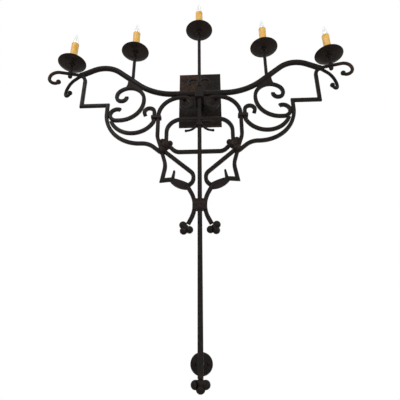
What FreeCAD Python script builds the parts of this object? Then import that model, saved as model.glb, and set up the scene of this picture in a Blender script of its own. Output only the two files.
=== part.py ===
# Forged wall sconce with five candle lights on one long shaft.
# Millimetres, +Z up, the room at -Y. The origin is the centre of the backplate's
# wall face. All scrollwork lies in one plane, which stands off the wall.
import FreeCAD
import Part
import math
import os
import Sketcher

Vector = FreeCAD.Vector
doc = FreeCAD.newDocument("TorchSconce")

# ---------------------------------------------------------------- sizes

SIZES = {
    # wall parts
    "plate_width": 152.4,
    "plate_height": 234,
    "plate_depth": 12,
    "plate_wall": 2.5,
    "plate_bevel": 2,
    "strap_length": 140,
    "strap_width": 24,
    "strap_thickness": 2.5,
    "box_screw_spacing": 88.9,
    "box_screw_hole": 2.4,
    "stud_radius": 2.5,
    "stud_spacing": 116,
    "cap_nut_radius": 6,
    "cap_nut_height": 4,
    "fit_clearance": 0.3,
    # plane of the scrollwork and the bars in it
    "standoff": 80,
    "bar_width": 12.5,
    "edge_bevel": 2.4,
    "hub_width": 32,
    "hub_height": 44,
    "hub_depth": 26,
    "hub_post_radius": 15,
    "arm_level": -30,
    # arms
    "arm_radius": 9.75,
    "arm_slope_start": 159,
    "arm_dip_radius": 200,
    "arm_crest": 330,
    "arm_crest_level": 112,
    "arm_crest_radius": 90,
    "arm_end": 423,
    "arm_end_level": 67,
    "tine_radius": 5.75,
    "tine_knob_radius": 8.5,
    "tine_fall": 6,
    "front_tine_angle": 21.7,
    "rear_tine_angle": 30.8,
    "front_tine_run": 77,
    "front_tine_bend": 36,
    "front_tine_curl": 16,
    "rear_tine_run": 43,
    "rear_tine_bend": 45,
    "rear_tine_curl": 13,
    # candles
    "inner_candle": 236,
    "outer_candle_reach": 39,
    "centre_rim_level": 268,
    "inner_rim_level": 172,
    "outer_rim_level": 113,
    "pan_radius": 49.5,
    "pan_depth": 8,
    "pan_floor_radius": 20,
    "pan_wall": 1.8,
    "stem_radius": 5.75,
    "stem_bore": 3.2,
    "thread_radius": 4.7,
    "eye_radius": 8.5,
    "ball_nut_radius": 7.5,
    "sleeve_radius": 13,
    "sleeve_bore": 11,
    "sleeve_height": 96,
    "socket_radius": 9.8,
    "bulb_base_radius": 5.95,
    "bulb_base_height": 13,
    "bulb_base_clearance": 0.08,
    "bulb_base_depth": 6,
    "bulb_radius": 9.5,
    "bulb_height": 58,
    "bulb_neck_radius": 5.4,
    # stepped side bars
    "step_level": -70.5,
    "step_outer": 407.5,
    "step_inner": 316,
    # side bars, hooks and their collars
    "side_bar_line": 139,
    "hook_line": 152.7,
    "side_collar_level": -127.5,
    "side_collar_height": 12,
    "side_collar_wall": 4,
    # lower scrollwork
    "knot_radius": 16,
    "lobe_radius": 10,
    "arch_level": -137,
    "arch_reach": 109,
    "crossbar_level": -264.5,
    "tail_line": 14,
    "tail_waist": -452,
    "centre_collar_level": -451,
    "centre_collar_height": 36,
    "centre_collar_wall": 2.2,
    "leaf_thickness": 8,
    # shaft and foot
    "shaft_top_width": 12.5,
    "shaft_foot_width": 15,
    "shaft_end_level": -930,
    "finial_lobe_radius": 12,
    "foot_level": -893,
    "foot_disc_radius": 31,
    "foot_disc_thickness": 4,
    "foot_post_radius": 8,
    "foot_screw_spacing": 38.8,
    "foot_screw_head": 4.6,
    "foot_screw_radius": 2.2,
}

sheet = doc.addObject("Spreadsheet::Sheet", "Sizes")
for row, (alias, value) in enumerate(SIZES.items(), start=1):
    sheet.set("A%d" % row, str(value))
    sheet.setAlias("A%d" % row, alias)
doc.recompute()


def size(alias):
    return float(sheet.get(alias))


parts = []


def node(feature, label):
    feature.Label = label
    parts.append(feature)
    return feature


ROOM = Vector(0, -1, 0)
UP = Vector(0, 0, 1)
SIDES = ((-1, "Left"), (1, "Right"))

# ---------------------------------------------------------------- routes


class Route:
    """Centre line of a bar in one plane: straight runs and the arcs between them."""

    def __init__(self, x, z, heading=0.0):
        self.start = (x, z)
        self.start_heading = heading
        self.x = x
        self.z = z
        self.heading = heading
        self.runs = []

    def line(self, length):
        turned = math.radians(self.heading)
        here = (self.x, self.z)
        self.x += length * math.cos(turned)
        self.z += length * math.sin(turned)
        self.runs.append((here, None, (self.x, self.z)))
        return self

    def turn(self, radius, angle):
        """Arc of the given radius; a positive angle turns left."""
        side = 1 if angle > 0 else -1
        here = (self.x, self.z)
        first = math.radians(self.heading)
        centre_x = self.x - side * radius * math.sin(first)
        centre_z = self.z + side * radius * math.cos(first)

        def at(share):
            now = first + math.radians(angle) * share
            return (centre_x + side * radius * math.sin(now), centre_z - side * radius * math.cos(now))

        self.x, self.z = at(1.0)
        self.heading += angle
        self.runs.append((here, (centre_x, centre_z, radius, angle), (self.x, self.z)))
        return self


def bent(start, corners, end):
    """Route through corners given as x, z and bend radius; a radius of 0 is a sharp corner."""
    points = [start] + [(x, z) for x, z, _ in corners] + [end]
    radii = [radius for _, _, radius in corners]
    headings = [math.degrees(math.atan2(b[1] - a[1], b[0] - a[0])) for a, b in zip(points, points[1:])]
    route = Route(start[0], start[1], headings[0])
    used = 0.0
    for i, radius in enumerate(radii):
        angle = (headings[i + 1] - headings[i] + 180) % 360 - 180
        tangent = radius * math.tan(math.radians(abs(angle)) / 2)
        length = math.dist(points[i], points[i + 1]) - used - tangent
        if length > 0.01:
            route.line(length)
        if radius > 0:
            route.turn(radius, angle)
        route.heading = headings[i + 1]
        used = tangent
    route.line(math.dist(points[-2], points[-1]) - used)
    return route


def sides_of(route, half):
    """Outline of a bar that is half wide on each side of its route: points, and its arcs' middles."""
    left = []
    right = []
    bulges = []
    heading = route.start_heading
    for i, (here, arc, there) in enumerate(route.runs):
        if arc is None:
            heading = math.degrees(math.atan2(there[1] - here[1], there[0] - here[0]))
            leave = heading
        else:
            leave = heading + arc[3]
        across = math.radians(heading + 90)
        out = (math.cos(across) * half, math.sin(across) * half)
        if i == 0:
            left.append((here[0] + out[0], here[1] + out[1]))
            right.append((here[0] - out[0], here[1] - out[1]))
        stretch = 1.0
        turned = leave
        following = route.runs[i + 1] if i + 1 < len(route.runs) else None
        if arc is None and following and following[1] is None:
            ahead = math.degrees(math.atan2(following[2][1] - there[1], following[2][0] - there[0]))
            bend = (ahead - leave + 180) % 360 - 180
            turned = leave + bend / 2
            stretch = 1 / math.cos(math.radians(bend) / 2)
        across = math.radians(turned + 90)
        out = (math.cos(across) * half * stretch, math.sin(across) * half * stretch)
        left.append((there[0] + out[0], there[1] + out[1]))
        right.append((there[0] - out[0], there[1] - out[1]))
        if arc is None:
            bulges.append((None, None))
        else:
            centre_x, centre_z, radius, angle = arc
            turn_side = 1 if angle > 0 else -1
            middle = math.radians(heading + angle / 2 - 90 * turn_side)
            inward = radius - turn_side * half
            outward = radius + turn_side * half
            bulges.append(((centre_x + inward * math.cos(middle), centre_z + inward * math.sin(middle)),
                           (centre_x + outward * math.cos(middle), centre_z + outward * math.sin(middle))))
        heading = leave
    points = left + right[::-1]
    count = len(route.runs)
    arcs = {}
    for i, (on_left, on_right) in enumerate(bulges):
        if on_left is not None:
            arcs[i] = on_left
            arcs[2 * count - i] = on_right
    return points, arcs


# ---------------------------------------------------------------- sketches


def on_plane(body, role, name, offset=None):
    """Sketch on one of the body's own planes, moved along its normal by an expression."""
    sketch = body.newObject("Sketcher::SketchObject", name)
    plane = [origin for origin in body.Origin.OriginFeatures if origin.Role == role][0]
    sketch.AttachmentSupport = [(plane, "")]
    sketch.MapMode = "FlatFace"
    if offset is not None:
        sketch.setExpression("AttachmentOffset.Base.z", offset)
    return sketch


def add_circle(sketch, x, y, value):
    """Circle whose radius is an expression of the sheet's sizes."""
    index = sketch.addGeometry(Part.Circle(Vector(x, y, 0), Vector(0, 0, 1), 1))
    radius = sketch.addConstraint(Sketcher.Constraint("Radius", index, 1))
    sketch.setExpression("Constraints[%d]" % radius, value)


def add_outline(sketch, points, arcs=None):
    """Closed outline; arcs maps the index of a side to the point that its arc passes through."""
    arcs = arcs or {}
    for i, here in enumerate(points):
        first = Vector(here[0], here[1], 0)
        there = points[(i + 1) % len(points)]
        last = Vector(there[0], there[1], 0)
        if i in arcs:
            through = Vector(arcs[i][0], arcs[i][1], 0)
            sketch.addGeometry(Part.Arc(first, through, last))
        else:
            sketch.addGeometry(Part.LineSegment(first, last))


def add_rectangle(sketch, x, y, width, height):
    left = x - width / 2
    low = y - height / 2
    add_outline(sketch, [(left, low), (left + width, low), (left + width, low + height), (left, low + height)])


def add_bevelled_square(sketch, alias):
    """Forged bar section: a square whose corners are cut off."""
    half = size(alias) / 2
    flat = half - size("edge_bevel")
    add_outline(sketch, [(-flat, -half), (flat, -half), (half, -flat), (half, flat),
                         (flat, half), (-flat, half), (-half, flat), (-half, -flat)])


# ---------------------------------------------------------------- solids


def round_bar(name, route, radius, side=1, plan=0.0, origin=(0, 0), forward="0"):
    """Round bar bent to a route in an upright plane, which is turned in plan about its origin.

    Each straight run is a rod and each bend part of a ring. side is -1 for the left half of
    the object, plan the angle towards the room, radius and forward are expressions.
    """
    turned = math.radians(-side * plan)
    ahead = Vector(side * math.cos(turned), side * math.sin(turned), 0)
    level = UP.cross(ahead)
    frame = FreeCAD.Placement(Vector(origin[0], 0, origin[1]), FreeCAD.Rotation(ahead, level, UP, "ZXY"))
    pieces = []
    heading = route.start_heading
    for i, (here, arc, there) in enumerate(route.runs):
        if arc is None:
            run = doc.addObject("Part::Cylinder", "%sRun%d" % (name, i))
            run.Height = math.dist(here, there)
            run.setExpression("Radius", radius)
            along = Vector(there[0] - here[0], 0, there[1] - here[1])
            local = FreeCAD.Placement(Vector(here[0], 0, here[1]), FreeCAD.Rotation(UP, along))
        else:
            centre_x, centre_z, bend, angle = arc
            run = doc.addObject("Part::Torus", "%sBend%d" % (name, i))
            run.Radius1 = bend
            run.setExpression("Radius2", radius)
            run.Angle3 = abs(angle)
            first = here if angle > 0 else there
            out = Vector(first[0] - centre_x, 0, first[1] - centre_z).normalize()
            local = FreeCAD.Placement(Vector(centre_x, 0, centre_z),
                                      FreeCAD.Rotation(out, ROOM.cross(out), ROOM, "ZXY"))
        run.Placement = frame * local
        run.setExpression(".Placement.Base.y", "%.9g - Sizes.standoff - %s" % (run.Placement.Base.y, forward))
        pieces.append(run)
    return fuse(name, pieces)


def square_bar(name, route, side=1, width="bar_width"):
    """Square bar forged to a route in the plane of the scrollwork, its long edges bevelled."""
    points, arcs = sides_of(route, size(width) / 2)
    body = doc.addObject("PartDesign::Body", name)
    outline = on_plane(body, "XZ_Plane", "Outline", "Sizes.standoff")
    add_outline(outline, [(side * x, z) for x, z in points],
                {i: (side * x, z) for i, (x, z) in arcs.items()})
    doc.recompute()
    bar = body.newObject("PartDesign::Pad", "Bar")
    bar.Profile = outline
    bar.setExpression("Length", "Sizes." + width)
    bar.Midplane = True
    doc.recompute()
    half = size(width) / 2
    faces = ["Face%d" % (i + 1) for i, face in enumerate(bar.Shape.Faces)
             if face.BoundBox.YLength < 0.01 and abs(abs(face.BoundBox.YMin + size("standoff")) - half) < 0.01]
    bevel = body.newObject("PartDesign::Chamfer", "Bevel")
    bevel.Base = (bar, faces)
    bevel.setExpression("Size", "Sizes.edge_bevel")
    body.Tip = bevel
    doc.recompute()
    return body


def revolved(name, points, arcs=None):
    """Turned piece: an outline of radius and height about its own Z axis."""
    body = doc.addObject("PartDesign::Body", name)
    outline = on_plane(body, "XZ_Plane", "Outline")
    add_outline(outline, points, arcs)
    doc.recompute()
    turned = body.newObject("PartDesign::Revolution", "Turned")
    turned.Profile = outline
    turned.ReferenceAxis = (outline, ["V_Axis"])
    turned.Angle = 360
    body.Tip = turned
    doc.recompute()
    return body


def plate_in_plane(name, points, thickness, arcs=None):
    """Flat piece cut to an outline, centred on the plane of the scrollwork."""
    body = doc.addObject("PartDesign::Body", name)
    outline = on_plane(body, "XZ_Plane", "Outline", "Sizes.standoff")
    add_outline(outline, points, arcs)
    doc.recompute()
    pad = body.newObject("PartDesign::Pad", "Blade")
    pad.Profile = outline
    pad.setExpression("Length", thickness)
    pad.Midplane = True
    body.Tip = pad
    doc.recompute()
    return body


def fuse(name, shapes):
    joined = doc.addObject("Part::MultiFuse", name)
    joined.Shapes = shapes
    doc.recompute()
    return joined


def cut(name, base, tools):
    """Copes a piece to the ones that it is welded to or passes through."""
    trimmed = base
    for i, tool in enumerate(tools):
        step = doc.addObject("Part::Cut", "%sCope%d" % (name, i))
        step.Base = trimmed
        step.Tool = tool
        trimmed = step
    doc.recompute()
    return trimmed


def group(name, pieces):
    together = doc.addObject("Part::Compound", name)
    together.Links = pieces
    doc.recompute()
    return together


def ball(name, radius, x, z, y=None):
    """Forged knob; radius is an expression."""
    knob = doc.addObject("Part::Sphere", name)
    knob.setExpression("Radius", radius)
    place = Vector(x, -size("standoff") if y is None else y, z)
    knob.Placement = FreeCAD.Placement(place, FreeCAD.Rotation())
    return knob


def rod(name, radius, length, base, direction):
    """Round rod; radius and length are expressions."""
    cylinder = doc.addObject("Part::Cylinder", name)
    cylinder.setExpression("Radius", radius)
    cylinder.setExpression("Height", length)
    cylinder.Placement = FreeCAD.Placement(base, FreeCAD.Rotation(Vector(0, 0, 1), direction))
    return cylinder


def block(name, width, depth, height, centre, rounding=0.0):
    """Block centred on a point, its edges softened; its sizes are expressions."""
    box = doc.addObject("Part::Box", name)
    box.setExpression("Length", width)
    box.setExpression("Width", depth)
    box.setExpression("Height", height)
    doc.recompute()
    half = Vector(box.Length.Value, box.Width.Value, box.Height.Value) * 0.5
    box.Placement = FreeCAD.Placement(centre - half, FreeCAD.Rotation())
    if rounding <= 0:
        return box
    soft = doc.addObject("Part::Fillet", name + "Soft")
    soft.Base = box
    soft.Edges = [(i, rounding, rounding) for i in range(1, 13)]
    doc.recompute()
    return soft


# ---------------------------------------------------------------- wall parts


def make_backplate():
    """Shallow steel pan over the electrical box, open to the wall, its front edge bevelled."""
    body = doc.addObject("PartDesign::Body", "Backplate")
    outline = on_plane(body, "XZ_Plane", "Outline")
    add_rectangle(outline, 0, 0, size("plate_width"), size("plate_height"))
    doc.recompute()
    pan = body.newObject("PartDesign::Pad", "Pan")
    pan.Profile = outline
    pan.setExpression("Length", "Sizes.plate_depth")
    doc.recompute()
    hollow = on_plane(body, "XZ_Plane", "Hollow")
    wall = size("plate_wall")
    add_rectangle(hollow, 0, 0, size("plate_width") - 2 * wall, size("plate_height") - 2 * wall)
    doc.recompute()
    inside = body.newObject("PartDesign::Pocket", "Inside")
    inside.Profile = hollow
    inside.setExpression("Length", "Sizes.plate_depth - Sizes.plate_wall")
    inside.Reversed = True
    doc.recompute()
    holes = on_plane(body, "XZ_Plane", "StudHoles")
    for share in (-0.5, 0.5):
        add_circle(holes, share * size("stud_spacing"), 0, "Sizes.stud_radius + Sizes.fit_clearance")
    add_circle(holes, 0, size("arm_level"), "Sizes.hub_post_radius - Sizes.plate_wall")
    doc.recompute()
    drilled = body.newObject("PartDesign::Pocket", "Drilled")
    drilled.Profile = holes
    drilled.Type = "ThroughAll"
    drilled.Midplane = True
    doc.recompute()
    bevel = body.newObject("PartDesign::Chamfer", "Bevel")
    front = -size("plate_depth")
    edges = ["Edge%d" % (i + 1) for i, edge in enumerate(drilled.Shape.Edges)
             if abs(edge.BoundBox.YMin - front) < 0.01 and edge.BoundBox.YLength < 0.01
             and edge.Length > size("plate_width") / 2]
    bevel.Base = (drilled, edges)
    bevel.setExpression("Size", "Sizes.plate_bevel")
    body.Tip = bevel
    doc.recompute()
    return body


def make_strap():
    """Steel strap that is screwed to the electrical box and carries the plate's studs."""
    body = doc.addObject("PartDesign::Body", "Strap")
    outline = on_plane(body, "XZ_Plane", "Outline")
    add_rectangle(outline, 0, 0, size("strap_length"), size("strap_width"))
    doc.recompute()
    flat = body.newObject("PartDesign::Pad", "Flat")
    flat.Profile = outline
    flat.setExpression("Length", "Sizes.strap_thickness")
    doc.recompute()
    holes = on_plane(body, "XZ_Plane", "Holes")
    for share in (-0.5, 0.5):
        add_circle(holes, share * size("box_screw_spacing"), 0, "Sizes.box_screw_hole")
        add_circle(holes, share * size("stud_spacing"), 0, "Sizes.stud_radius")
    doc.recompute()
    drilled = body.newObject("PartDesign::Pocket", "Drilled")
    drilled.Profile = holes
    drilled.Type = "ThroughAll"
    drilled.Midplane = True
    body.Tip = drilled
    doc.recompute()
    return body


def make_cap_nuts():
    """Two studs from the strap through the plate, each with a domed cap nut."""
    pieces = []
    for i, share in enumerate((-0.5, 0.5)):
        base = Vector(share * size("stud_spacing"), 0, 0)
        seat = base + ROOM * size("plate_depth")
        stud = rod("Stud%d" % i, "Sizes.stud_radius", "Sizes.plate_depth + 2", base, ROOM)
        nut = rod("Nut%d" % i, "Sizes.cap_nut_radius", "Sizes.cap_nut_height", seat, ROOM)
        dome = doc.addObject("Part::Sphere", "Dome%d" % i)
        dome.setExpression("Radius", "Sizes.cap_nut_radius")
        dome.Angle1 = 0
        dome.Placement = FreeCAD.Placement(seat + ROOM * size("cap_nut_height"),
                                           FreeCAD.Rotation(UP, ROOM))
        pieces.append(fuse("CapNut%d" % i, [stud, nut, dome]))
    return group("CapNuts", pieces)


def make_hub():
    """Post from the plate to a block, round which the arms, the stem and the shaft are welded."""
    base = Vector(0, -size("plate_depth"), size("arm_level"))
    post = rod("HubPost", "Sizes.hub_post_radius", "Sizes.standoff - Sizes.plate_depth", base, ROOM)
    centre = Vector(0, -size("standoff"), size("arm_level"))
    body = block("HubBlock", "Sizes.hub_width", "Sizes.hub_depth", "Sizes.hub_height", centre, 2.5)
    return fuse("Hub", [post, body])


node(make_backplate(), "backplate")
node(make_strap(), "mounting_strap")
node(make_cap_nuts(), "plate_cap_nuts")
hub = node(make_hub(), "hub")

# ---------------------------------------------------------------- arms

TINES = {"front": 1, "rear": -1}


def arm_route():
    return bent((size("hub_width") / 2 - 3, size("arm_level")),
                [(size("arm_slope_start"), size("arm_level"), size("arm_dip_radius")),
                 (size("arm_crest"), size("arm_crest_level"), size("arm_crest_radius"))],
                (size("arm_end"), size("arm_end_level")))


def tine_route(which):
    """Tine in its own upright plane: out and slightly down, then over and curled back."""
    route = Route(-5, 0, -size("tine_fall"))
    route.line(size(which + "_tine_run"))
    route.turn(size(which + "_tine_bend"), -85)
    route.turn(size(which + "_tine_curl"), -155)
    return route


def outer_candle_place(side):
    """Spot on the front tine that the outer candle's stem passes through."""
    plan = math.radians(size("front_tine_angle"))
    reach = size("outer_candle_reach")
    return Vector(side * (size("arm_end") + reach * math.cos(plan)),
                  -size("standoff") - reach * math.sin(plan),
                  size("arm_end_level") - (reach + 5) * math.tan(math.radians(size("tine_fall"))))


def make_arm(side, word):
    """Bent round bar whose end is split into a front and a rear tine, each curled under."""
    pieces = [round_bar("Arm%sBar" % word, arm_route(), "Sizes.arm_radius", side)]
    for which, towards_room in TINES.items():
        route = tine_route(which)
        plan = towards_room * size(which + "_tine_angle")
        name = "Arm%s%sTine" % (word, which.title())
        root = (side * size("arm_end"), size("arm_end_level"))
        pieces.append(round_bar(name, route, "Sizes.tine_radius", side, plan, root))
        out = math.radians(plan)
        tip = Vector(side * (size("arm_end") + route.x * math.cos(out)),
                     -size("standoff") - route.x * math.sin(out), size("arm_end_level") + route.z)
        pieces.append(ball(name + "Knob", "Sizes.tine_knob_radius", tip.x, tip.z, tip.y))
    pieces.append(ball("Arm%sWeld" % word, "Sizes.arm_radius + 0.5",
                       side * (size("arm_end") + 1), size("arm_end_level")))
    spot = outer_candle_place(side)
    pieces.append(rod("Arm%sEye" % word, "Sizes.eye_radius", "Sizes.tine_radius * 2",
                      spot - UP * size("tine_radius"), UP))
    hole = rod("Arm%sStemHole" % word, "Sizes.thread_radius", "Sizes.tine_radius * 4",
               spot - UP * 2 * size("tine_radius"), UP)
    return cut("Arm" + word, fuse("Arm%sForging" % word, pieces), [hub, hole])


arms = {}
for side, word in SIDES:
    arms[side] = node(make_arm(side, word), "main_arm_" + word.lower())

# ---------------------------------------------------------------- shaft, arch and crossbar


def make_shaft_blank():
    """Square bar drawn to a taper, thickest at the foot, with a three-lobed finial."""
    body = doc.addObject("PartDesign::Body", "ShaftBar")
    sections = []
    top = "Sizes.arm_level - Sizes.hub_height / 2"
    for name, alias, level in (("Top", "shaft_top_width", top),
                               ("Foot", "shaft_foot_width", "Sizes.shaft_end_level")):
        section = on_plane(body, "XY_Plane", name, level)
        section.setExpression("AttachmentOffset.Base.y", "-Sizes.standoff")
        add_bevelled_square(section, alias)
        sections.append(section)
    doc.recompute()
    loft = body.newObject("PartDesign::AdditiveLoft", "Taper")
    loft.Profile = sections[0]
    loft.Sections = [sections[1]]
    loft.Ruled = True
    body.Tip = loft
    doc.recompute()
    radius = size("finial_lobe_radius")
    end = size("shaft_end_level")
    spots = [(-1.1 * radius, -1.15 * radius), (1.1 * radius, -1.15 * radius),
             (0, -2 * radius), (0, -0.9 * radius)]
    lobes = [ball("FinialLobe%d" % i, "Sizes.finial_lobe_radius", x, end + z)
             for i, (x, z) in enumerate(spots)]
    return fuse("ShaftForging", [body] + lobes)


def rear_half(blank):
    """Back half of the shaft, which the half-lapped cross pieces leave in place."""
    box = doc.addObject("Part::Box", "BehindTheLap")
    box.Length = 40
    box.Width = 20
    box.Height = 200
    box.Placement = FreeCAD.Placement(Vector(-20, -size("standoff"), -300), FreeCAD.Rotation())
    half = doc.addObject("Part::Common", "ShaftRearHalf")
    half.Base = blank
    half.Tool = box
    doc.recompute()
    return half


# Centres of the forged knots where the side, step, arch, cross and lower bars meet.
KNOT = [("Top", 112, -240, "Sizes.knot_radius"), ("Inner", 97, -231, "Sizes.lobe_radius"),
        ("Outer", 121, -223, "Sizes.lobe_radius"), ("Low", 121, -256, "Sizes.knot_radius - 1")]


def make_knot(side, word):
    """Forged knot of blended knobs at the meeting point of seven bars."""
    return fuse("Knot" + word, [ball("Knot%s%s" % (word, name), radius, side * x, z)
                                for name, x, z, radius in KNOT])


knots = {}
for side, word in SIDES:
    knots[side] = node(make_knot(side, word), "knot_" + word.lower())


def make_arch(lap):
    """Round-shouldered arch between the knots, in front of the plate."""
    reach = size("arch_reach")
    level = size("arch_level")
    route = bent((-reach, -232), [(-reach, level, 50), (reach, level, 50)], (reach, -232))
    return cut("Arch", square_bar("ArchBar", route), [lap, knots[-1], knots[1]])


def make_crossbar(lap):
    """Bar under the arch, its ends turned up to the knots."""
    level = size("crossbar_level")
    route = bent((-102, level + 27), [(-77, level, 30), (77, level, 30)], (102, level + 27))
    return cut("Crossbar", square_bar("CrossbarBar", route), [lap, knots[-1], knots[1]])


shaft_blank = make_shaft_blank()
lap = rear_half(shaft_blank)
arch = node(make_arch(lap), "arch_bar")
crossbar = node(make_crossbar(lap), "crossbar")
shaft = node(cut("Shaft", shaft_blank, [hub, arch, crossbar]), "shaft")

# ---------------------------------------------------------------- foot


def make_foot_disc():
    """Round wall disc, its front edge softened, with two screw holes."""
    radius = size("foot_disc_radius")
    thickness = size("foot_disc_thickness")
    disc = revolved("FootDiscBlank", [(0, 0), (radius, 0), (radius, thickness - 1.5),
                                      (radius - 1.5, thickness), (0, thickness)],
                    {2: (radius - 0.44, thickness - 0.44)})
    disc.Placement = FreeCAD.Placement(Vector(0, 0, size("foot_level")), FreeCAD.Rotation(UP, ROOM))
    holes = [rod("FootHole%d" % i, "Sizes.foot_screw_radius", "Sizes.foot_disc_thickness",
                 Vector(share * size("foot_screw_spacing"), 0, size("foot_level")), ROOM)
             for i, share in enumerate((-0.5, 0.5))]
    return cut("FootDisc", disc, holes)


def make_foot_post():
    """Round post that holds the shaft off the wall disc."""
    start = Vector(0, -size("foot_disc_thickness"), size("foot_level"))
    post = rod("FootPostRod", "Sizes.foot_post_radius", "Sizes.standoff - Sizes.foot_disc_thickness",
               start, ROOM)
    return cut("FootPost", post, [shaft])


def make_foot_screws():
    pieces = []
    for i, share in enumerate((-0.5, 0.5)):
        back = Vector(share * size("foot_screw_spacing"), 0, size("foot_level"))
        shank = rod("FootShank%d" % i, "Sizes.foot_screw_radius", "Sizes.foot_disc_thickness", back, ROOM)
        head = doc.addObject("Part::Sphere", "FootHead%d" % i)
        head.setExpression("Radius", "Sizes.foot_screw_head")
        head.Angle1 = 0
        head.Placement = FreeCAD.Placement(back + ROOM * size("foot_disc_thickness"),
                                           FreeCAD.Rotation(UP, ROOM))
        pieces.append(fuse("FootScrew%d" % i, [shank, head]))
    return group("FootScrews", pieces)


node(make_foot_disc(), "foot_disc")
node(make_foot_post(), "foot_post")
node(make_foot_screws(), "foot_screws")

# ---------------------------------------------------------------- side scrollwork


def make_step_bar(side, word):
    """Square bar that drops from the arm in two right-angled steps, then bows to the knot."""
    outer = size("step_outer")
    inner = size("step_inner")
    level = size("step_level")
    route = bent((outer + 12, size("arm_end_level") - 2),
                 [(outer, 44, 30), (outer, level, 0), (inner, level, 0),
                  (inner, -228, 121), (167, -228, 60)], (128, -262))
    return cut("Step" + word, square_bar("StepBar" + word, route, side),
               [arms[side], knots[side]])


def scroll_route():
    """Large scroll: a hooked tip, the bow, the back under the arm and a tight curl."""
    route = Route(270, -91, 28.8)
    for radius, angle, run in ((23, -208.8, 9.5), (80, -90, 4), (51.5, -130, 0), (30, -45, 4),
                               (17.5, -185, 0)):
        route.turn(radius, angle)
        if run:
            route.line(run)
    return route


def make_scroll(side, word, step_bar):
    """Scroll bar with the web that is forged between its back and the underside of the arm."""
    corners = [(200, -22), (262, -2.3), (268, 60), (200, 5)]
    web = plate_in_plane("ScrollWeb" + word, [(side * x, z) for x, z in corners], "Sizes.bar_width - 3",
                         {0: (side * 229, -0.7), 1: (side * 252, 27)})
    bar = square_bar("ScrollBar" + word, scroll_route(), side)
    return cut("Scroll" + word, fuse("ScrollForging" + word, [bar, web]), [arms[side], step_bar])


def make_hook(side, word, step_bar, scroll):
    """Crescent from the step bar to the collar, where it turns up and ends in a small hook."""
    line = size("hook_line")
    bow = 79
    sprung = math.radians(22)
    route = Route(line + 72.3 + bow * math.cos(sprung), -108 - bow * math.sin(sprung), -112)
    route.turn(bow, -127.5)
    route.turn(30, -30.5)
    route.line(28)
    route.turn(17, -200)
    route.line(8)
    return cut("Hook" + word, square_bar("HookBar" + word, route, side), [step_bar, scroll])


def make_side_bar(side, word, scroll):
    """Bar from the knot up through the collar and over to the plate, ending in a spiral."""
    line = size("side_bar_line")
    top = size("arm_level") - size("arm_radius") - size("bar_width") / 2 + 0.6
    route = bent((line - 13, -246), [(line, -205, 60), (line, top, 77)], (52, top))
    for radius, angle in ((26, 90), (20, 90), (15, 110)):
        route.turn(radius, angle)
    return cut("Side" + word, square_bar("SideBar" + word, route, side),
               [arms[side], knots[side], scroll])


def make_side_collar(side, word, bars):
    """Band forged round the side bar and the hook where they run side by side."""
    inner = size("side_bar_line") - size("bar_width") / 2
    outer = size("hook_line") + size("bar_width") / 2
    centre = Vector(side * (inner + outer) / 2, -size("standoff"), size("side_collar_level"))
    width = "Sizes.hook_line - Sizes.side_bar_line + Sizes.bar_width + 2 * Sizes.side_collar_wall"
    band = block("SideCollarBand" + word, width, "Sizes.bar_width + 2 * Sizes.side_collar_wall",
                 "Sizes.side_collar_height", centre, 2.5)
    return cut("SideCollar" + word, band, bars)


side_collars = []
for side, word in SIDES:
    low = word.lower()
    step_bar = node(make_step_bar(side, word), "step_bar_" + low)
    scroll = node(make_scroll(side, word, step_bar), "c_scroll_" + low)
    hook = node(make_hook(side, word, step_bar, scroll), "crescent_hook_" + low)
    side_bar = node(make_side_bar(side, word, scroll), "side_bar_" + low)
    side_collars.append(make_side_collar(side, word, [hook, side_bar]))
node(group("SideCollars", side_collars), "side_collars")

# ---------------------------------------------------------------- lower scrollwork


def make_lower_bar(side, word):
    """Bar from the knot to a pointed corner, a leaf, and a tail that ends in three lobes."""
    depth = "Sizes.leaf_thickness"
    drop = square_bar("LowerDrop" + word,
                      bent((124, -256), [(108, -312, 70), (118, -366, 0)], (84, -363)), side)
    leaf = plate_in_plane("Leaf" + word, [(side * 94, -358), (side * 33, -380),
                                          (side * 40, -399), (side * 94, -369)], depth,
                          {0: (side * 63, -366), 2: (side * 68, -392)})
    thorn = plate_in_plane("Thorn" + word, [(side * 89, -358), (side * 83, -334),
                                            (side * 77, -337), (side * 79, -360)], depth,
                           {1: (side * 79, -332.5)})
    line = size("tail_line")
    waist = size("tail_waist")
    tail_path = bent((41, -383), [(line - 10.5, waist, 95)], (35, -513))
    tail = square_bar("Tail" + word, tail_path, side)
    lobes = [ball("TailLobe%s%d" % (word, i), "Sizes.lobe_radius + %g" % grow, side * x, z)
             for i, (x, z, grow) in enumerate(((50, -516, 1.5), (48, -534, 1.5), (31, -531, 1.5), (42, -525, 0)))]
    whole = fuse("LowerForging" + word, [drop, leaf, thorn, tail] + lobes)
    return cut("Lower" + word, whole, [knots[side], shaft])


def make_diagonal(side, word, lower_bar):
    """Bar from the knot that bends back beside the shaft and lands on the leaf."""
    route = bent((112, -262), [(19, -345, 26), (20, -372, 24)], (34, -385))
    return cut("Diagonal" + word, square_bar("DiagonalBar" + word, route, side),
               [knots[side], lower_bar])


def make_centre_collar(tails):
    """Band forged round the shaft and the two tails."""
    centre = Vector(0, -size("standoff"), size("centre_collar_level"))
    band = block("CentreCollarBand", "2 * Sizes.tail_line + Sizes.bar_width + 2 * Sizes.centre_collar_wall",
                 "Sizes.shaft_foot_width + 2 * Sizes.centre_collar_wall", "Sizes.centre_collar_height",
                 centre, 1.8)
    return cut("CentreCollar", band, [shaft] + tails)


lower_bars = []
for side, word in SIDES:
    lower = node(make_lower_bar(side, word), "lower_bar_" + word.lower())
    lower_bars.append(lower)
    node(make_diagonal(side, word, lower), "diagonal_bar_" + word.lower())
node(make_centre_collar(lower_bars), "centre_collar")


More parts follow.
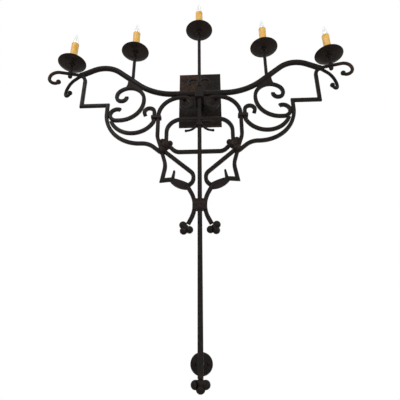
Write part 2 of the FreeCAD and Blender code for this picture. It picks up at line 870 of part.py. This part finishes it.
def make_leaf_spray():
    """Clasp round the shaft with two drooping tendrils that spring from its sides."""
    level = -160
    clasp = block("Clasp", "Sizes.shaft_top_width + 7", "Sizes.shaft_top_width + 7", "14",
                  Vector(0, -size("standoff"), level), 2)
    pieces = [clasp]
    for side, word in SIDES:
        route = Route(11.74, level - 5.62, -59)
        route.turn(36, 53)
        route.line(6)
        pieces.append(ball("TendrilRoot" + word, "Sizes.bar_width * 0.4", side * 11.74, level - 5.62))
        pieces.append(round_bar("Tendril" + word, route, "Sizes.bar_width * 0.3", side))
        pieces.append(ball("TendrilTip" + word, "Sizes.bar_width * 0.38", side * route.x, route.z))
    return cut("LeafSpray", fuse("SprayForging", pieces), [shaft])


node(make_leaf_spray(), "leaf_spray")

# ---------------------------------------------------------------- candles


def place(feature, spot):
    feature.Placement = FreeCAD.Placement(spot, FreeCAD.Rotation())
    return feature


def pan_outline():
    """Dished drip pan: flat floor with a hole for the stem's thread, and a rising, rolled rim."""
    floor = size("pan_floor_radius")
    rim = size("pan_radius")
    depth = size("pan_depth")
    wall = size("pan_wall")
    hole = size("thread_radius")
    middle = (floor + rim) / 2
    points = [(hole, 0), (floor, 0), (rim, depth - wall / 2), (rim - wall / 2, depth), (floor, wall), (hole, wall)]
    return points, {1: (middle + 2, depth * 0.2), 3: (middle + 1, depth * 0.2 + wall)}


def make_stem(name, spot, top, tail=0.0):
    """Tube with a shoulder under the pan and a threaded end through it.

    tail is the length of the second threaded end, below the tube.
    """
    radius = size("stem_radius")
    length = top - spot.z
    bore = size("stem_bore")
    thread = size("thread_radius")
    end = length + size("pan_wall") + 4
    points = [(radius, 0), (radius, length - 6), (radius + 4, length - 3),
              (radius + 4, length), (thread, length), (thread, end), (bore, end)]
    if tail:
        points += [(bore, -tail), (thread, -tail), (thread, 0)]
    else:
        points += [(bore, 0)]
    return place(revolved(name, points), spot)


def make_socket(name):
    """Lamp holder: a foot on the pan round the stem's thread, a slim barrel and the bored mouth."""
    radius = size("socket_radius")
    bore = size("bulb_base_radius") + size("bulb_base_clearance")
    height = size("sleeve_height") - size("bulb_base_depth")
    floor = height - size("bulb_base_height") - 0.1
    thread = size("thread_radius")
    points = [(thread, 0), (radius, 0), (radius, height), (bore, height), (bore, floor),
              (0, floor), (0, 10), (thread, 10)]
    return revolved(name, points)


def make_sleeve(name):
    """Candle sleeve of moulded wax over the lamp holder, its top edge softened."""
    outer = size("sleeve_radius")
    bore = size("sleeve_bore")
    height = size("sleeve_height")
    points = [(bore, 0), (outer, 0), (outer, height - 1.5), (outer - 1.2, height), (bore, height)]
    return revolved(name, points, {2: (outer - 0.3, height - 0.45)})


def make_bulb_base(name):
    radius = size("bulb_base_radius")
    height = size("bulb_base_height")
    return revolved(name, [(0, 0), (2.4, 0), (4.4, 1.8), (radius, 3.4), (radius, height), (0, height)])


def make_bulb_glass(name):
    """Flame-shaped lamp glass: two arcs from the neck over the belly to the drawn tip."""
    radius = size("bulb_radius")
    height = size("bulb_height")
    neck = size("bulb_neck_radius")
    belly = height * 0.36
    points = [(0, 0), (neck, 0), (radius, belly), (1.4, height), (0, height)]
    return revolved(name, points, {1: ((neck + radius) / 2 + 1, belly * 0.38),
                                   2: (radius * 0.74, height * 0.68)})


def make_ram_horns(stem):
    """Two small curls that spring from the front of the centre stem."""
    curls = []
    for side, word in SIDES:
        route = Route(3.8, size("arm_level") + size("hub_height") / 2 + 3, 90)
        route.line(12)
        route.turn(17, -150)
        route.turn(9, -110)
        curls.append(round_bar("Horn" + word, route, "Sizes.bar_width * 0.3", side,
                               forward="(Sizes.stem_radius + Sizes.bar_width * 0.25)"))
    return cut("RamHorns", fuse("HornsForging", curls), [stem])


def candles():
    """Name, foot of the stem and rim level of each candle, from left to right."""
    centre = Vector(0, -size("standoff"), size("arm_level"))
    yield "centre", centre, size("centre_rim_level"), [hub]
    for side, word in SIDES:
        slope = (size("arm_crest_level") - size("arm_level")) / (size("arm_crest") - size("arm_slope_start"))
        height = size("arm_level") + (size("inner_candle") - size("arm_slope_start")) * slope
        foot = Vector(side * size("inner_candle"), -size("standoff"), height)
        yield "inner_" + word.lower(), foot, size("inner_rim_level"), [arms[side]]
    for side, word in SIDES:
        foot = outer_candle_place(side) + UP * size("tine_radius")
        yield "outer_" + word.lower(), foot, size("outer_rim_level"), []


sockets = []
nuts = []
for word, foot, rim_level, carriers in candles():
    tag = word.title().replace("_", "")
    floor = Vector(foot.x, foot.y, rim_level - size("pan_depth"))
    seat = floor + UP * size("pan_wall")
    base_level = size("sleeve_height") - size("bulb_base_depth") - size("bulb_base_height")
    through = 2 * size("tine_radius") + 5 if word.startswith("outer") else 0.0
    stem = cut("Stem" + tag, make_stem("StemTube" + tag, foot, floor.z, through), carriers)
    node(stem, "candle_stem_" + word)
    node(place(revolved("Pan" + tag, *pan_outline()), floor), "drip_pan_" + word)
    node(place(make_sleeve("Sleeve" + tag), seat), "candle_sleeve_" + word)
    sockets.append(place(make_socket("Socket" + tag), seat))
    base_foot = seat + UP * base_level
    node(place(make_bulb_base("Base" + tag), base_foot), "bulb_base_" + word)
    glass_foot = base_foot + UP * (size("bulb_base_height") + 0.05)
    node(place(make_bulb_glass("Glass" + tag), glass_foot), "bulb_glass_" + word)
    if word == "centre":
        node(make_ram_horns(stem), "ram_horns")
    if word.startswith("outer"):
        under = foot.z - 2 * size("tine_radius") - size("ball_nut_radius") + 1
        knob = ball("Nut" + tag, "Sizes.ball_nut_radius", foot.x, under, foot.y)
        nuts.append(cut("BallNut" + tag, knob, [stem, arms[-1 if "left" in word else 1]]))
node(group("Sockets", sockets), "lamp_sockets")
node(group("BallNuts", nuts), "ball_nuts")

# ---------------------------------------------------------------- check and write

doc.recompute()
for item in doc.Objects:
    if "Invalid" in item.State or "Error" in item.State:
        raise RuntimeError("%s did not build: %s" % (item.Name, item.State))
for feature in parts:
    shape = feature.Shape
    if shape.isNull() or not shape.isValid():
        raise RuntimeError("%s has no valid shape" % feature.Label)

os.makedirs("parts", exist_ok=True)
for feature in parts:
    feature.Shape.exportStep("parts/%s.step" % feature.Label)
    print("%-26s solids %d  volume %.0f" % (feature.Label, len(feature.Shape.Solids), feature.Shape.Volume))
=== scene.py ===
import math
import random

import bmesh
import bpy
from mathutils import Matrix, Vector


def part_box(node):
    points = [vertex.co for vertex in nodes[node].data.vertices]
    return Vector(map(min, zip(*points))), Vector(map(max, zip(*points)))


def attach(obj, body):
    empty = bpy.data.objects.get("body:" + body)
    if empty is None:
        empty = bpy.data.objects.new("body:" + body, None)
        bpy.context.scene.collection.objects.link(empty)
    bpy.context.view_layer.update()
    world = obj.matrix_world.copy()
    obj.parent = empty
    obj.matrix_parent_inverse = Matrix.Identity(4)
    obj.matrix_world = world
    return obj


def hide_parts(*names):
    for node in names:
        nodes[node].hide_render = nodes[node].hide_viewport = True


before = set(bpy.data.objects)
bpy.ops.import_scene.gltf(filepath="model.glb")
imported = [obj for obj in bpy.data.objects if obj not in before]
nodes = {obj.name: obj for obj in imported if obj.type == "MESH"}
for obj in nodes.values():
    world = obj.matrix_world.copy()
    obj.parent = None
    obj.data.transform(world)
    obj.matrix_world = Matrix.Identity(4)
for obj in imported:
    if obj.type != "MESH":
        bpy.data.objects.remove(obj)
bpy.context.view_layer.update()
CANDLES = ("centre", "inner_left", "inner_right", "outer_left", "outer_right")
MM = 0.001

# ---------------------------------------------------------------- colours and nodes


def linear(hex_colour, alpha=1.0):
    """sRGB hex to the linear colour that shaders take."""
    values = [int(hex_colour[i:i + 2], 16) / 255 for i in (1, 3, 5)]
    return [v / 12.92 if v <= 0.04045 else ((v + 0.055) / 1.055) ** 2.4 for v in values] + [alpha]


def add(tree, kind, links=None, inputs=None, **settings):
    """Adds a node: settings are its properties, inputs its values, links what feeds it."""
    node = tree.nodes.new(kind)
    for name, value in settings.items():
        setattr(node, name, value)
    for name, value in (inputs or {}).items():
        node.inputs[name].default_value = value
    for name, source in (links or {}).items():
        tree.links.new(source, node.inputs[name])
    return node


def new_material(name):
    """An empty node material, its tree, the object's own coordinates and its output node."""
    material = bpy.data.materials.new(name)
    material.use_nodes = True
    tree = material.node_tree
    tree.nodes.clear()
    where = add(tree, "ShaderNodeTexCoord").outputs["Object"]
    output = add(tree, "ShaderNodeOutputMaterial")
    return material, tree, where, output


def spots(tree, where, size_mm, low, high, detail=4.0, roughness=0.55):
    """Noise of about size_mm, spread between low and high to 0 to 1."""
    noise = add(tree, "ShaderNodeTexNoise", {"Vector": where},
                {"Scale": 1 / (size_mm * MM), "Detail": detail, "Roughness": roughness})
    return add(tree, "ShaderNodeMapRange", {"Value": noise.outputs["Fac"]},
               {"From Min": low, "From Max": high}).outputs["Result"]


def near(tree, where, centre_mm, radius_mm):
    """1 within three tenths of radius_mm from a spot of the object, fading to 0 at radius_mm."""
    away = add(tree, "ShaderNodeVectorMath", {0: where}, {1: [c * MM for c in centre_mm]},
               operation="DISTANCE")
    return add(tree, "ShaderNodeMapRange", {"Value": away.outputs["Value"]},
               {"From Min": radius_mm * MM, "From Max": radius_mm * MM * 0.3}).outputs["Result"]


def maths(tree, operation, first, second):
    """An operation on two numbers or sockets, clamped to 0 to 1."""
    node = add(tree, "ShaderNodeMath", operation=operation, use_clamp=True)
    for socket, value in zip(node.inputs, (first, second)):
        if isinstance(value, (int, float)):
            socket.default_value = value
        else:
            tree.links.new(value, socket)
    return node.outputs[0]


def blend(tree, share, first, second):
    """Mix of two colours, each a hex value or a socket."""
    mix = add(tree, "ShaderNodeMix", {"Factor": share}, data_type="RGBA")
    for socket, value in ((mix.inputs[6], first), (mix.inputs[7], second)):
        if isinstance(value, str):
            socket.default_value = linear(value)
        else:
            tree.links.new(value, socket)
    return mix.outputs[2]


# ---------------------------------------------------------------- materials


def wrought_iron(name, worn=0.0, warm=(), dents=0.5, base="#0c0a09", scale="#171210"):
    """Hot-forged mild steel, scale left on and rubbed with dark wax.

    The hammer leaves shallow facets about 9 mm across and the fire a fine scale of 1.6 mm.
    In patches the wax is gone and brown rust shows; the spots listed in warm add the same brown, which
    in places is a painted highlight.
    worn is the share of that brown all over; warm lists spots as centre and radius in mm.
    """
    material, tree, where, output = new_material(name)
    patina = spots(tree, where, 38, 0.35, 0.68)
    colour = blend(tree, patina, base, scale)
    grey = maths(tree, "MULTIPLY", spots(tree, where, 14, 0.55, 0.75), 0.35)
    colour = blend(tree, grey, colour, "#242120")
    rust_and_highlight = maths(tree, "MULTIPLY", spots(tree, where, 9, 0.46, 0.66, 6.0, 0.65), worn)
    # Spots from warm, in the same brown: rust, except one on the plate that is a painted highlight.
    for centre, radius in warm:
        patch = maths(tree, "MULTIPLY", near(tree, where, centre, radius),
                      spots(tree, where, 16, 0.38, 0.58, 6.0, 0.65))
        rust_and_highlight = maths(tree, "MAXIMUM", rust_and_highlight, patch)
    rust_and_highlight_colour = blend(tree, spots(tree, where, 5, 0.35, 0.65), "#2a1c14", "#4a3222")
    colour = blend(tree, maths(tree, "MULTIPLY", rust_and_highlight, 0.8), colour, rust_and_highlight_colour)
    facets = add(tree, "ShaderNodeTexVoronoi", {"Vector": where},
                 {"Scale": 1 / (9 * MM), "Smoothness": 0.6}, feature="SMOOTH_F1")
    hammered = add(tree, "ShaderNodeBump", {"Height": facets.outputs["Distance"]},
                   {"Strength": dents, "Distance": 0.7 * MM})
    scale_noise = add(tree, "ShaderNodeTexNoise", {"Vector": where},
                      {"Scale": 1 / (1.6 * MM), "Detail": 5.0, "Roughness": 0.6})
    scaled = add(tree, "ShaderNodeBump",
                 {"Height": scale_noise.outputs["Fac"], "Normal": hammered.outputs["Normal"]},
                 {"Strength": 0.35, "Distance": 0.25 * MM})
    rough = add(tree, "ShaderNodeMapRange", {"Value": maths(tree, "MAXIMUM", patina, rust_and_highlight)},
                {"To Min": 0.42, "To Max": 0.7}).outputs["Result"]
    shader = add(tree, "ShaderNodeBsdfPrincipled",
                 {"Base Color": colour, "Roughness": rough, "Normal": scaled.outputs["Normal"]},
                 {"Metallic": 0.55, "Specular IOR Level": 0.22})
    tree.links.new(shader.outputs[0], output.inputs["Surface"])
    return material


def beeswax(name):
    """Amber moulded wax with a satin skin that light soaks into, and darker streaks down it."""
    material, tree, where, output = new_material(name)
    cloud = spots(tree, where, 22, 0.3, 0.7)
    colour = blend(tree, cloud, "#cf9a3c", "#dfb765")
    streak_space = add(tree, "ShaderNodeMapping", {"Vector": where}, {"Scale": (1, 1, 0.18)})
    streaks = maths(tree, "MULTIPLY", spots(tree, streak_space.outputs[0], 5, 0.5, 0.75), 0.5)
    colour = blend(tree, streaks, colour, "#a8742a")
    skin = add(tree, "ShaderNodeTexNoise", {"Vector": where}, {"Scale": 1 / (4 * MM), "Detail": 3.0})
    bump = add(tree, "ShaderNodeBump", {"Height": skin.outputs["Fac"]},
               {"Strength": 0.4, "Distance": 0.5 * MM})
    rough = add(tree, "ShaderNodeMapRange", {"Value": cloud},
                {"To Min": 0.38, "To Max": 0.58}).outputs["Result"]
    shader = add(tree, "ShaderNodeBsdfPrincipled",
                 {"Base Color": colour, "Roughness": rough, "Normal": bump.outputs["Normal"]},
                 {"Subsurface Weight": 0.35, "Subsurface Radius": (1.0, 0.6, 0.25),
                  "Subsurface Scale": 4 * MM, "IOR": 1.44})
    tree.links.new(shader.outputs[0], output.inputs["Surface"])
    return material


def blown_glass(name):
    """Clear soda-lime bulb glass, thin and slightly uneven from blowing."""
    material, tree, where, output = new_material(name)
    waves = add(tree, "ShaderNodeTexNoise", {"Vector": where}, {"Scale": 1 / (12 * MM), "Detail": 1.0})
    bump = add(tree, "ShaderNodeBump", {"Height": waves.outputs["Fac"]},
               {"Strength": 0.1, "Distance": 0.4 * MM})
    rough = add(tree, "ShaderNodeMapRange", {"Value": waves.outputs["Fac"]},
                {"To Min": 0.0, "To Max": 0.04})
    shader = add(tree, "ShaderNodeBsdfPrincipled",
                 {"Normal": bump.outputs["Normal"], "Roughness": rough.outputs["Result"]},
                 {"Base Color": linear("#f4f6f6"), "Transmission Weight": 1.0, "IOR": 1.5})
    tree.links.new(shader.outputs[0], output.inputs["Surface"])
    return material


def metal(name, dark, light, roughness, grain_mm=3.0, metallic=1.0):
    """Bare metal, or a moulding where metallic is 0, with a fine grain of grain_mm and a tarnish."""
    material, tree, where, output = new_material(name)
    tarnish = spots(tree, where, 6, 0.35, 0.7)
    colour = blend(tree, tarnish, light, dark)
    grain = add(tree, "ShaderNodeTexNoise", {"Vector": where},
                {"Scale": 1 / (grain_mm * MM), "Detail": 4.0})
    bump = add(tree, "ShaderNodeBump", {"Height": grain.outputs["Fac"]},
               {"Strength": 0.2, "Distance": 0.1 * MM})
    rough = add(tree, "ShaderNodeMapRange", {"Value": tarnish},
                {"To Min": roughness, "To Max": roughness + 0.18}).outputs["Result"]
    shader = add(tree, "ShaderNodeBsdfPrincipled",
                 {"Base Color": colour, "Roughness": rough, "Normal": bump.outputs["Normal"]},
                 {"Metallic": metallic})
    tree.links.new(shader.outputs[0], output.inputs["Surface"])
    return material


# Centre and radius in mm of the brown spots: on the plate's face, and at the arms' curled ends. All are
# rust except the plate's spot low on the right at (52, -98), which is a painted highlight.
PLATE_RUST_AND_HIGHLIGHT = [((-45, -12, 85), 85), ((52, -12, -98), 45), ((-60, -12, 30), 40)]
ARM_RUST = [((-515, -112, 38), 60), ((515, -112, 38), 60)]

IRON = wrought_iron("wrought_iron_waxed", 0.25)
# The plate's spot low on the right is a painted highlight, in the rust's brown.
IRON_PLATE = wrought_iron("wrought_iron_plate", 0.3, PLATE_RUST_AND_HIGHLIGHT, 0.7)
IRON_COLLAR = wrought_iron("wrought_iron_rubbed_collar", 0.75)
IRON_ARM = wrought_iron("wrought_iron_arm", 0.2, ARM_RUST)
IRON_PAN = wrought_iron("wrought_iron_spun_pan", 0.55, (), 0.25, "#120f0e", "#221b18")
WAX = beeswax("beeswax_amber")
GLASS = blown_glass("bulb_glass_clear")
# Brass rolled into a thread, yellow and fairly bright.
BRASS = metal("brass_rolled_thread", "#8a6a34", "#c9a35a", 0.28)
# Zinc-plated steel strip, a cool light grey.
ZINC = metal("steel_zinc_plated", "#7f8285", "#a9adb0", 0.35)
# Drawn tungsten wire, dark grey.
TUNGSTEN = metal("tungsten_wire", "#4a4a4c", "#77777a", 0.3)
# Black phenolic resin, moulded, so not a metal: dull, with a finer grain.
PHENOLIC = metal("phenolic_moulded_black", "#14110f", "#1d1917", 0.4, 1.5, 0.0)


def cad_material(name):
    """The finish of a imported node, by its name; plain waxed iron for the rest."""
    if name.startswith("candle_sleeve"):
        return WAX
    if name.startswith("bulb_base"):
        return BRASS
    if name.startswith("drip_pan"):
        return IRON_PAN
    if name.startswith("main_arm"):
        return IRON_ARM
    if name.startswith("knot") or "collar" in name or name in ("ball_nuts", "plate_cap_nuts"):
        return IRON_COLLAR
    return {"backplate": IRON_PLATE, "mounting_strap": ZINC, "lamp_sockets": PHENOLIC}.get(name, IRON)


for name, thing in nodes.items():
    thing.data.materials.clear()
    thing.data.materials.append(cad_material(name))

# ---------------------------------------------------------------- new pieces


def make_piece(name, mesh, material, body):
    """Turns a finished bmesh into a smooth piece that rides on a body."""
    data = bpy.data.meshes.new(name)
    bmesh.ops.recalc_face_normals(mesh, faces=mesh.faces)
    mesh.to_mesh(data)
    mesh.free()
    piece = bpy.data.objects.new(name, data)
    bpy.context.scene.collection.objects.link(piece)
    data.materials.append(material)
    for face in data.polygons:
        face.use_smooth = True
    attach(piece, body)
    return piece


def lathe(mesh, outline, centre, steps=40):
    """Turns an outline of radius and height about an upright axis."""
    verts = [mesh.verts.new((radius, 0, height)) for radius, height in outline]
    edges = [mesh.edges.new(pair) for pair in zip(verts, verts[1:])]
    bmesh.ops.spin(mesh, geom=verts + edges, cent=(0, 0, 0), axis=(0, 0, 1), angle=math.tau,
                   steps=steps, use_merge=True)
    bmesh.ops.remove_doubles(mesh, verts=mesh.verts, dist=1e-6)
    bmesh.ops.translate(mesh, verts=mesh.verts, vec=centre)


def tube(mesh, points, radius, sides):
    """Wire along points, as one extruded ring."""
    ring = bmesh.ops.create_circle(mesh, segments=sides, radius=radius, cap_ends=True)["verts"]
    ahead = (points[1] - points[0]).normalized()
    turn = Vector((0, 0, 1)).rotation_difference(ahead).to_matrix().to_4x4()
    bmesh.ops.transform(mesh, matrix=Matrix.Translation(points[0]) @ turn, verts=ring)
    faces = [face for face in mesh.faces if all(v in ring for v in face.verts)]
    for here, there in zip(points, points[1:]):
        grown = bmesh.ops.extrude_face_region(mesh, geom=faces)
        fresh = [g for g in grown["geom"] if isinstance(g, bmesh.types.BMVert)]
        faces = [g for g in grown["geom"] if isinstance(g, bmesh.types.BMFace)]
        bmesh.ops.translate(mesh, verts=fresh, vec=there - here)


FLAME_STEPS = 24
BELLY_SHARE = 0.36    # where up its height a bulb is widest


def flame_outline(low, high, radius, neck):
    """Half outline of a flame bulb, from the neck over the belly to the drawn tip."""
    height = high - low
    outline = []
    for i in range(FLAME_STEPS + 1):
        share = i / FLAME_STEPS
        if share < BELLY_SHARE:
            swell = math.sin(share / BELLY_SHARE * math.pi / 2)
            r = neck + (radius - neck) * swell
        else:
            fall = (share - BELLY_SHARE) / (1 - BELLY_SHARE)
            r = radius * math.cos(fall * math.pi / 2) ** 0.92 * (1 - 0.18 * fall)
        outline.append((max(r, 0.0), low + height * share))
    return outline


NECK_RADIUS = 5.3 * MM
GLASS_WALL = 0.7 * MM
TIP_WALL = 0.9 * MM
SUPPORT_TOP = 25 * MM      # above the glass stem's foot
HALF_FILAMENT = 3.4 * MM
FILAMENT_ARCH = 7 * MM
FILAMENT_TURNS = 9
FILAMENT_STEPS = 72
COIL_RADIUS = 0.35 * MM


def make_bulb(word):
    """Thin flame-shaped glass with its stem, supports and filament, in place of the solid one."""
    low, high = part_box("bulb_glass_" + word)
    axis = Vector(((low.x + high.x) / 2, (low.y + high.y) / 2, 0))
    radius = (high.x - low.x) / 2
    glass = bmesh.new()
    outer = flame_outline(low.z, high.z, radius - 0.02 * MM, NECK_RADIUS)
    inner = [(max(r - GLASS_WALL, 0.0), z - (TIP_WALL if i == FLAME_STEPS else 0))
             for i, (r, z) in enumerate(outer)]
    lathe(glass, outer + inner[::-1] + [outer[0]], axis)
    piece = make_piece("bulb_envelope_" + word, glass, GLASS, "bulb_" + word)
    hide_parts("bulb_glass_" + word)
    stem = bmesh.new()
    foot = low.z + 0.5 * MM
    lathe(stem, [(0, foot), (4.2 * MM, foot), (3.6 * MM, foot + 4 * MM), (1.8 * MM, foot + 9 * MM),
                 (1.5 * MM, foot + 15 * MM), (0, foot + 16 * MM)], axis, 20)
    make_piece("bulb_stem_" + word, stem, GLASS, "bulb_" + word)
    wires = bmesh.new()
    for side in (-1, 1):
        tube(wires, [axis + Vector((side * 0.8 * MM, 0, foot + 12 * MM)),
                     axis + Vector((side * 2.2 * MM, 0, foot + 19 * MM)),
                     axis + Vector((side * HALF_FILAMENT, 0, foot + SUPPORT_TOP))], 0.2 * MM, 6)
    coil = []
    for i in range(FILAMENT_STEPS + 1):
        share = i / FILAMENT_STEPS
        turn = share * math.tau * FILAMENT_TURNS
        rise = SUPPORT_TOP + math.sin(share * math.pi) * FILAMENT_ARCH
        coil.append(axis + Vector(((share * 2 - 1) * HALF_FILAMENT, COIL_RADIUS * math.cos(turn),
                                   foot + rise + COIL_RADIUS * math.sin(turn))))
    tube(wires, coil, 0.12 * MM, 5)
    make_piece("bulb_filament_" + word, wires, TUNGSTEN, "bulb_" + word)


def make_drips(word, seed):
    """Wax runs down the sleeve: a rounded lip at the top, tongues of uneven length and their beads."""
    chance = random.Random(seed)
    low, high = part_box("candle_sleeve_" + word)
    axis = Vector(((low.x + high.x) / 2, (low.y + high.y) / 2, 0))
    radius = (high.x - low.x) / 2
    wax = bmesh.new()
    runs = 9
    for i in range(runs):
        turn = math.tau * (i + chance.uniform(-0.3, 0.3)) / runs
        length = chance.choice((0.16, 0.3, 0.22, 0.5, 0.7)) * (high.z - low.z) * chance.uniform(0.8, 1.1)
        wide = chance.uniform(1.5, 2.3) * MM
        top = high.z - chance.uniform(0.6, 1.4) * MM
        out = Vector((math.cos(turn), math.sin(turn), 0))
        run = bmesh.ops.create_uvsphere(wax, u_segments=12, v_segments=12, radius=1.0)["verts"]
        for vert in run:
            rise = vert.co.z
            bead = 1.0 + 0.45 * math.exp(-((rise + 0.82) / 0.2) ** 2)
            thin = wide * bead
            spread = 1.5 if rise > 0.6 else 1.0
            across = Vector((-out.y, out.x, 0))
            vert.co = (axis + out * (radius - 0.9 * MM + vert.co.x * thin * 0.62)
                       + across * vert.co.y * thin * spread
                       + Vector((0, 0, top - length / 2 + rise * length / 2)))
    rim = [(radius - 1.7 * MM, high.z - 2.2 * MM), (radius - 0.1 * MM, high.z - 2.6 * MM),
           (radius + 0.5 * MM, high.z - 1.6 * MM), (radius + 0.2 * MM, high.z - 0.5 * MM),
           (radius - 0.8 * MM, high.z - 0.05 * MM), (radius - 1.8 * MM, high.z - 0.6 * MM),
           (radius - 1.7 * MM, high.z - 2.2 * MM)]
    lip = bmesh.new()
    lathe(lip, rim, axis, 48)
    for vert in lip.verts:
        turn = math.atan2(vert.co.y - axis.y, vert.co.x - axis.x)
        if vert.co.z < high.z - 1.2 * MM:
            vert.co.z -= (1 + math.sin(turn * 5 + seed) * 0.8 + math.sin(turn * 3 - seed)) * MM
    make_piece("wax_drips_" + word, wax, WAX, "ironwork")
    make_piece("wax_lip_" + word, lip, WAX, "ironwork")


for index, word in enumerate(CANDLES):
    make_bulb(word)
    make_drips(word, index + 3)

# ---------------------------------------------------------------- stage, light and camera


FLOOR_LEVEL = -1.6
SURROUND_STRENGTH = 0.55
CAMERA_PLACE = (0.0428, -1.1696, -0.9323)
CAMERA_YAW = 2.22          # degrees, as are the next two
CAMERA_PITCH = 24.5
CAMERA_ROLL = -0.25
CAMERA_LENS = 35.53        # millimetres, on a sensor 36 wide


def make_floor():
    """Pale studio floor, well below the sconce."""
    material, tree, where, output = new_material("studio_floor_matt")
    tone = blend(tree, spots(tree, where, 400, 0.3, 0.7), "#e9e8e6", "#efeeec")
    shader = add(tree, "ShaderNodeBsdfPrincipled", {"Base Color": tone}, {"Roughness": 0.9})
    tree.links.new(shader.outputs[0], output.inputs["Surface"])
    mesh = bmesh.new()
    bmesh.ops.create_grid(mesh, x_segments=1, y_segments=1, size=2.5)
    bmesh.ops.translate(mesh, verts=mesh.verts, vec=(0, -0.5, FLOOR_LEVEL))
    data = bpy.data.meshes.new("floor")
    mesh.to_mesh(data)
    mesh.free()
    data.materials.append(material)
    floor = bpy.data.objects.new("floor", data)
    bpy.context.scene.collection.objects.link(floor)


def make_world():
    """Even pale surroundings; what the camera and clear glass see of them is white."""
    world = bpy.data.worlds.new("studio")
    bpy.context.scene.world = world
    world.use_nodes = True
    tree = world.node_tree
    tree.nodes.clear()
    path = add(tree, "ShaderNodeLightPath")
    seen = maths(tree, "MAXIMUM", path.outputs["Is Camera Ray"], path.outputs["Is Transmission Ray"])
    seen = maths(tree, "MAXIMUM", seen, path.outputs["Is Glossy Ray"])
    soft = add(tree, "ShaderNodeBackground",
               inputs={"Color": (1, 1, 1, 1), "Strength": SURROUND_STRENGTH})
    white = add(tree, "ShaderNodeBackground", inputs={"Color": (1, 1, 1, 1), "Strength": 1.0})
    both = add(tree, "ShaderNodeMixShader", {0: seen, 1: soft.outputs[0], 2: white.outputs[0]})
    add(tree, "ShaderNodeOutputWorld", {"Surface": both.outputs[0]})


def make_lamp(name, place, aim, size, power):
    """A soft round lamp, size in metres across and power in watts, turned to its aim."""
    lamp = bpy.data.lights.new(name, "AREA")
    lamp.shape = "DISK"
    lamp.size = size
    lamp.energy = power
    thing = bpy.data.objects.new(name, lamp)
    thing.location = place
    thing.rotation_mode = "QUATERNION"
    thing.rotation_quaternion = (Vector(aim) - Vector(place)).to_track_quat("-Z", "Y")
    bpy.context.scene.collection.objects.link(thing)


def make_camera():
    """Low viewpoint near the foot, looking up: worked out from the photograph's perspective."""
    yaw, pitch, roll = (math.radians(a) for a in (CAMERA_YAW, CAMERA_PITCH, CAMERA_ROLL))
    ahead = Vector((-math.sin(yaw) * math.cos(pitch), math.cos(yaw) * math.cos(pitch), math.sin(pitch)))
    right = Vector((math.cos(yaw), math.sin(yaw), 0))
    up = right.cross(ahead)
    turned_right = right * math.cos(roll) + up * math.sin(roll)
    turned_up = up * math.cos(roll) - right * math.sin(roll)
    data = bpy.data.cameras.new("camera")
    data.lens = CAMERA_LENS
    data.sensor_width = 36
    data.clip_start = 0.05
    data.clip_end = 50
    camera = bpy.data.objects.new("camera", data)
    axes = Matrix((turned_right, turned_up, -ahead)).transposed().to_4x4()
    camera.matrix_world = Matrix.Translation(CAMERA_PLACE) @ axes
    bpy.context.scene.collection.objects.link(camera)
    bpy.context.scene.camera = camera


make_floor()
make_world()
make_lamp("key", (-1.3, -1.9, 1.3), (0, 0, -0.1), 1.2, 30)
make_lamp("fill", (1.7, -1.6, 0.2), (0, 0, -0.3), 1.4, 14)
make_lamp("low", (0.2, -1.5, -1.4), (0, 0, -0.2), 1.0, 8)
make_camera()
bpy.context.scene.view_settings.view_transform = "Standard"
